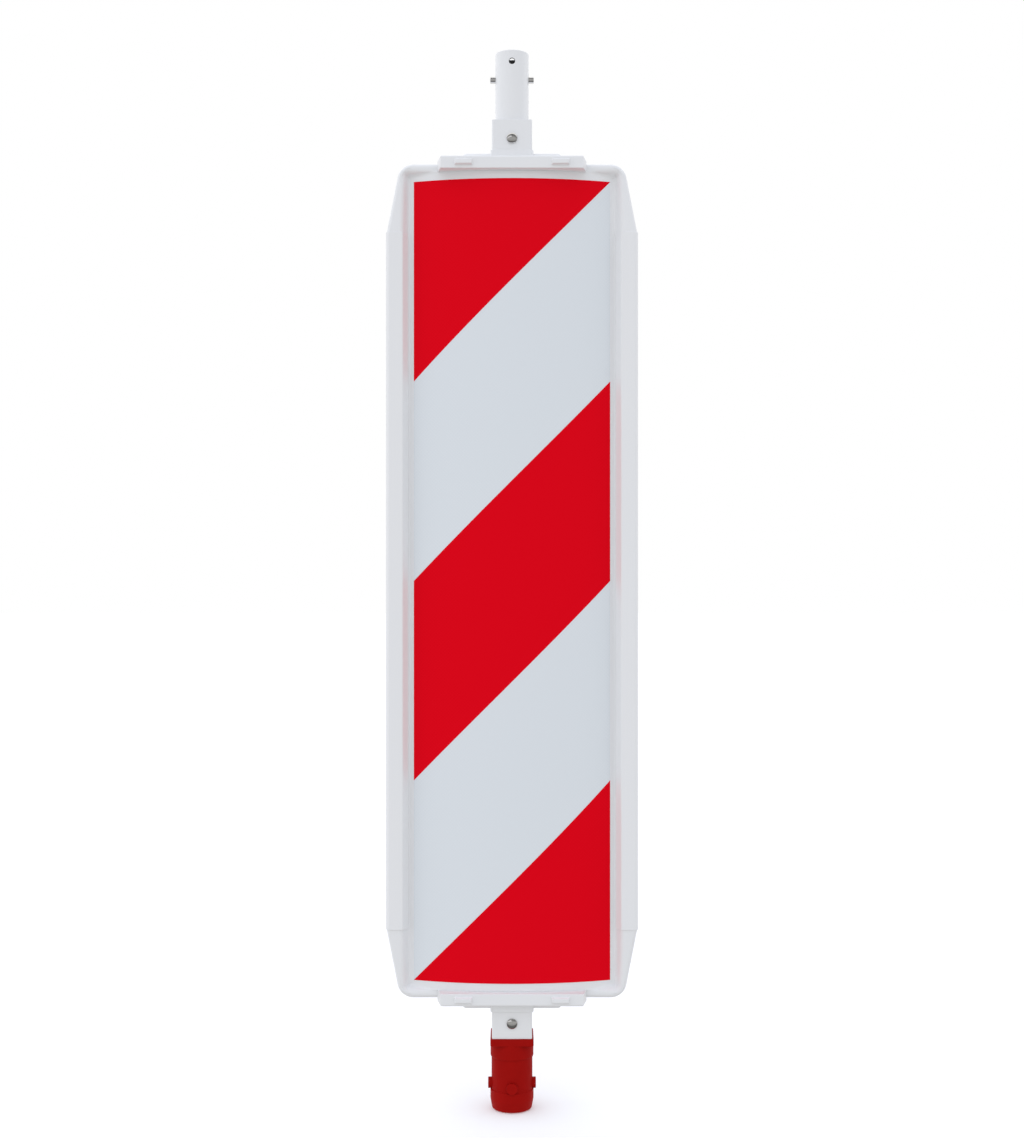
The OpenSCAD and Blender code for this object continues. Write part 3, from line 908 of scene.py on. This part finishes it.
def panel_form(grow):
    """The whole panel as one solid, grown by a distance."""
    rim, face = quarter_surface(-grow, 0)
    return solid("panel_form", *panel_points([rim, face], forward=(-1, 1)))


def cap_bar():
    half_front, half_root = cap_front_w / 2, cap_root_w / 2
    plan = [
        (-half_front, -cap_half_depth), (half_front, -cap_half_depth), (half_root, -end_crest),
        (half_root, end_crest), (half_front, cap_half_depth), (-half_front, cap_half_depth),
        (-half_root, end_crest), (-half_root, -end_crest),
    ]
    return block("cap_bar", plan, cap_inner, cap_outer, cap_corner, (0.7, 2.4))


def latch_housing(x, turn):
    outward = Matrix.Translation((x, -cap_half_depth, latch_z)) @ Matrix.Rotation(pi / 2, 4, "X")
    return block(
        "latch_housing", rectangle(latch_w, latch_h), -latch_root, latch_out, latch_corner, (0.2, 0.6),
        rectangle(latch_w - 2 * latch_slope, latch_h - 2 * latch_slope), turn @ outward,
    )


def cap(name, node, place):
    bar = cap_bar()
    turns = (Matrix.Identity(4), half_turn)
    housings = [latch_housing(x, turn) for x in (-latch_x, latch_x) for turn in turns]
    boss = block(
        "boss", rectangle(*boss_root), cap_outer - boss_sunk, cap_outer + boss_h, boss_corner, (0.2, 0.8),
        rectangle(*boss_end),
    )
    collar_side = post_side + 2 * (seat_gap + collar_t)
    collar_top = cap_outer + boss_h + collar_h
    collar = block(
        "collar", rectangle(collar_side, collar_side), cap_outer - collar_sunk, collar_top, collar_corner,
        (0.2, 0.5),
    )
    joined(bar, boss, collar, *housings)
    cut(bar, panel_form(seat_gap), post_way())
    bar.name = name
    bar.data.transform(place)
    hand_over(bar, cap_plastic, "beacon", "cap_plastic", node)


cap("moulded_top_cap", "top_cap", in_panel)
cap("moulded_bottom_cap", "bottom_cap", in_panel @ upside_down)

# %% [markdown]
# ## The post, the lamp stub and the rivets
# The post is a square steel tube with rolled corners, powder-coated white. The round stub has a square
# spigot that drops into the post, and one domed rivet through both holds it there. Another holds the plug
# below. The holes are drilled, so the lamp's lock hole looks into the tube. The bare inside of the tube is
# coloured near black: partly the steel's own dark tone, and partly painted shade.

# %% The post
post_low, post_high = (corner.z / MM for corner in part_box("square_post"))
post_wall, post_corner, bore_corner = 3, 2.4, 0.6
rivet_rise, rivet_r, rivet_gap = 26.6, 3.2, 0.05
rivet_heights = (mid_z + half_h + rivet_rise, mid_z - half_h - rivet_rise)
through_y = Matrix.Rotation(pi / 2, 4, "X")
through_x = Matrix.Rotation(pi / 2, 4, "Y")


def rod(name, radius, length, place, sides=64):
    return turned(name, [(radius, -length / 2), (radius, length / 2)], place, sides=sides)


def cross_hole(height, radius, direction=through_y):
    return rod("cross_hole", radius, 3 * post_side, Matrix.Translation((0, 0, height)) @ direction)


post = block(
    "coated_square_post", rectangle(post_side, post_side), post_low, post_high, post_corner, (0.5, 0.5),
    steps=6,
)
bore = post_side - 2 * post_wall
cut(post, block("bore", rectangle(bore, bore), post_low - 5, post_high + 5, bore_corner, (0.1, 0.1)),
    *[cross_hole(height, rivet_r + rivet_gap) for height in rivet_heights])
hand_over(post, post_paint, "beacon", "post_paint", "square_post")

# %% The lamp stub
stub_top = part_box("lamp_stub")[1].z / MM
stub_r, stub_wall, stub_edge, stub_sunk = 21, 3, 0.9, 1
spigot_l, spigot_corner, spigot_below = 62, 1.0, 0.02
shade_share, painted_h = 0.6, 2
lock_r, lock_drop = 4, 14.2
button_r, button_gap, button_drop = 4.3, 0.06, 32
stub_bore_r = stub_r - stub_wall
spigot_side = bore - 2 * seat_gap
button_z = stub_top - button_drop


def stub_profile():
    """The tube's wall as a closed profile, with its top edge broken inside and out."""
    low, inner = post_high - stub_sunk, stub_bore_r
    corners = [(inner, low), (stub_r, low), (stub_r, stub_top), (inner, stub_top)]
    return rounded(corners, [least_corner, least_corner, stub_edge, stub_edge * 0.8], 4)


stub = turned("coated_lamp_stub", stub_profile(), closed=True, sides=128)
spigot = block(
    "spigot", rectangle(spigot_side, spigot_side), post_high - spigot_l, post_high - spigot_below,
    spigot_corner, (0.8, 0.2),
)
cut(spigot, turned("bore", [(stub_bore_r, post_high - 2 * spigot_l), (stub_bore_r, stub_top)], sides=128))
joined(stub, spigot)
cut(stub, cross_hole(rivet_heights[0], rivet_r + rivet_gap), cross_hole(stub_top - lock_drop, lock_r),
    cross_hole(button_z, button_r + button_gap, through_x))
hand_over(stub, post_paint, "beacon", "post_paint", "lamp_stub", sharp_angle=24)
# The bore's inward faces below the coated top band take the near-black finish, which is partly painted shade.
stub.data.materials.append(bare_bore_shade)
shade_r, shade_top = (stub_bore_r + stub_wall * shade_share) * MM, (stub_top - painted_h) * MM
for face in stub.data.polygons:
    inward = face.normal.x * face.center.x + face.normal.y * face.center.y < 0
    if inward and hypot(face.center.x, face.center.y) < shade_r and face.center.z < shade_top:
        face.material_index = 1

# %% The rivets
head_r, head_h, dome_h, lip = 6.5, 4.0, 2.5, 0.35
dome_steps = 14


def rivet(name, node, height):
    """A shank with a smooth dome at each end, on a short upright rim that is slightly drawn under."""
    seat = post_side / 2
    dome_r = (head_r ** 2 + dome_h ** 2) / (2 * dome_h)
    spread = asin(head_r / dome_r)
    angles = [spread * k / dome_steps for k in range(dome_steps + 1)]
    dome = [(dome_r * sin(angle), seat + head_h - dome_r + dome_r * cos(angle)) for angle in angles]
    half = dome + [(head_r, seat + lip), (head_r - lip, seat), (rivet_r, seat)]
    profile = [(r, z) for r, z in half] + [(r, -z) for r, z in reversed(half)]
    place = Matrix.Translation((0, 0, height)) @ through_y
    piece = turned(name, profile, place, sides=72)
    hand_over(piece, rivet_steel, "beacon", "rivet_steel", node, sharp_angle=40)


rivet("domed_top_rivet", "top_rivet", rivet_heights[0])
rivet("domed_bottom_rivet", "bottom_rivet", rivet_heights[1])

# %% [markdown]
# ## The spring buttons
# Two turned pins stand out through the stub, each with a collar that stops it inside. A bent steel leaf
# pushes them apart, and a lamp's sleeve presses them in as it slides over. Each pin rides on its own
# body. The leaf is made as two halves that meet at the bottom of its bend, each running from the bend to
# the pad behind its own button.

# %% The buttons
collar_r, pin_collar_t, pin_tip_edge = 6.5, 1.4, 0.8
pin_back, pin_tip = (corner.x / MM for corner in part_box("right_button"))


def button(name, node, mirror):
    corners = [
        (0, pin_back), (collar_r, pin_back), (collar_r, pin_back + pin_collar_t),
        (button_r, pin_back + pin_collar_t), (button_r, pin_tip), (0, pin_tip),
    ]
    profile = rounded(corners, [0, 0.2, 0.2, 0.15, pin_tip_edge, 0], 5, closed=False)
    place = Matrix.Translation((0, 0, button_z)) @ mirror @ through_x
    pin = turned(name, profile, place, sides=64)
    hand_over(pin, button_steel, node, "button_steel", node, sharp_angle=50)


button("turned_right_button", "right_button", Matrix.Identity(4))
button("turned_left_button", "left_button", half_turn)

# %% The spring leaf
leaf_w, leaf_t, leaf_h, bend_r = 10, 0.8, 66, 7.0
leg_steps, bend_steps = 8, 10
bend_z = button_z + collar_r - leaf_h + bend_r
pad_x = pin_back - seat_gap


def leaf_line(inset):
    """The leaf's outer or inner line: the pad behind the button, the leg, and a quarter of the bend."""
    radius = bend_r - inset
    pad = [(pad_x - inset, button_z + collar_r), (pad_x - inset, button_z - collar_r)]
    leg = [
        tuple(a + (b - a) * k / leg_steps for a, b in zip(pad[1], (radius, bend_z)))
        for k in range(1, leg_steps)
    ]
    angles = [pi / 2 * k / bend_steps for k in range(bend_steps + 1)]
    bend = [(radius * cos(angle), bend_z - radius * sin(angle)) for angle in angles]
    return pad + leg + bend


def spring_leg(name, side):
    rows = []
    for (outer_x, outer_z), (inner_x, inner_z) in zip(leaf_line(0), leaf_line(leaf_t)):
        rows.append([
            (outer_x * side, -leaf_w / 2, outer_z), (outer_x * side, leaf_w / 2, outer_z),
            (inner_x * side, leaf_w / 2, inner_z), (inner_x * side, -leaf_w / 2, inner_z),
        ])
    leg = solid(name, *skin(rows))
    leg.data.transform(Matrix.Scale(MM, 4))
    leg.data.materials.append(spring_steel)
    leg.data.shade_smooth()
    leg.data.set_sharp_from_angle(angle=radians(40))
    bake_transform(leg)
    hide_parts("button_spring")
    print(f"{name}: {len(leg.data.polygons)} faces")


spring_leg("spring_right_leg", 1)
spring_leg("spring_left_leg", -1)

# %% [markdown]
# ## The bayonet plug
# The plug is one red moulding. Its square flange closes the post, a round collar and a long neck go down
# into the base plate, and a guide ring with four lugs turns and locks there. The round parts are one
# lathe profile with every edge softened. The flange and the lugs are welded to it, the rivet hole is
# drilled, and the underside is hollow.

# %% The bayonet plug
plug_h = post_low
flange_side, flange_h, flange_bevel = 54, 8.8, 1.6
plug_collar_r, plug_collar_h = 27, 18.2
neck_r, neck_h = 25.7, 41.4
ring_r, tip_h, tip_r, tip_round = 27.15, 12.5, 24.8, 2.5
lug_r, lug_reach, lug_root, lug_lift = 6.9, 30, 8, 0.2
plug_wall, plug_spigot_l, flange_corner = 5, 45.6, 3
plug_collar_z = plug_h - flange_h
neck_z = plug_collar_z - plug_collar_h
ring_z = neck_z - neck_h
lug_z = ring_z + lug_r + lug_lift


def plug_body():
    corners = [
        (0, 0), (tip_r, 0), (ring_r, tip_h), (ring_r, ring_z), (neck_r, ring_z + 0.8), (neck_r, neck_z),
        (plug_collar_r - 0.5, neck_z), (plug_collar_r, neck_z + 1.4), (plug_collar_r, plug_collar_z + 0.5),
        (0, plug_collar_z + 0.5),
    ]
    radii = [0, tip_round, 2.0, 0.35, 0.35, 0.5, 0.3, 0.4, 0.05, 0]
    return turned("moulded_bayonet_plug", rounded(corners, radii, 5, closed=False), sides=128)


def lug(angle):
    place = Matrix.Rotation(angle, 4, "Z") @ Matrix.Translation((0, 0, lug_z)) @ through_x
    root = neck_r - lug_root
    corners = [(0, root), (lug_r, root), (lug_r, lug_reach), (0, lug_reach)]
    return turned("lug", rounded(corners, [0, 0.1, 0.7, 0], 4, closed=False), place, sides=64)


plug = plug_body()
flange = block(
    "flange", rectangle(flange_side, flange_side), plug_collar_z, plug_h, flange_corner, (0.5, flange_bevel),
    steps=6,
)
plug_spigot = block(
    "plug_spigot", rectangle(spigot_side, spigot_side), plug_h - 1, plug_h + plug_spigot_l, spigot_corner,
    (0.2, 0.8),
)
joined(plug, flange, plug_spigot, *[lug(pi / 2 * k) for k in range(4)])
hollow_r, way_r = tip_r - plug_wall, spigot_side / 2 - plug_wall
cut(plug, turned("hollow", [(hollow_r, -5), (hollow_r, neck_z - plug_wall)]),
    turned("spigot_hollow", [(way_r, neck_z), (way_r, plug_h + 2 * plug_spigot_l)]),
    cross_hole(rivet_heights[1], rivet_r + rivet_gap))
hand_over(plug, plug_plastic, "beacon", "plug_plastic", "bayonet_plug", sharp_angle=28)
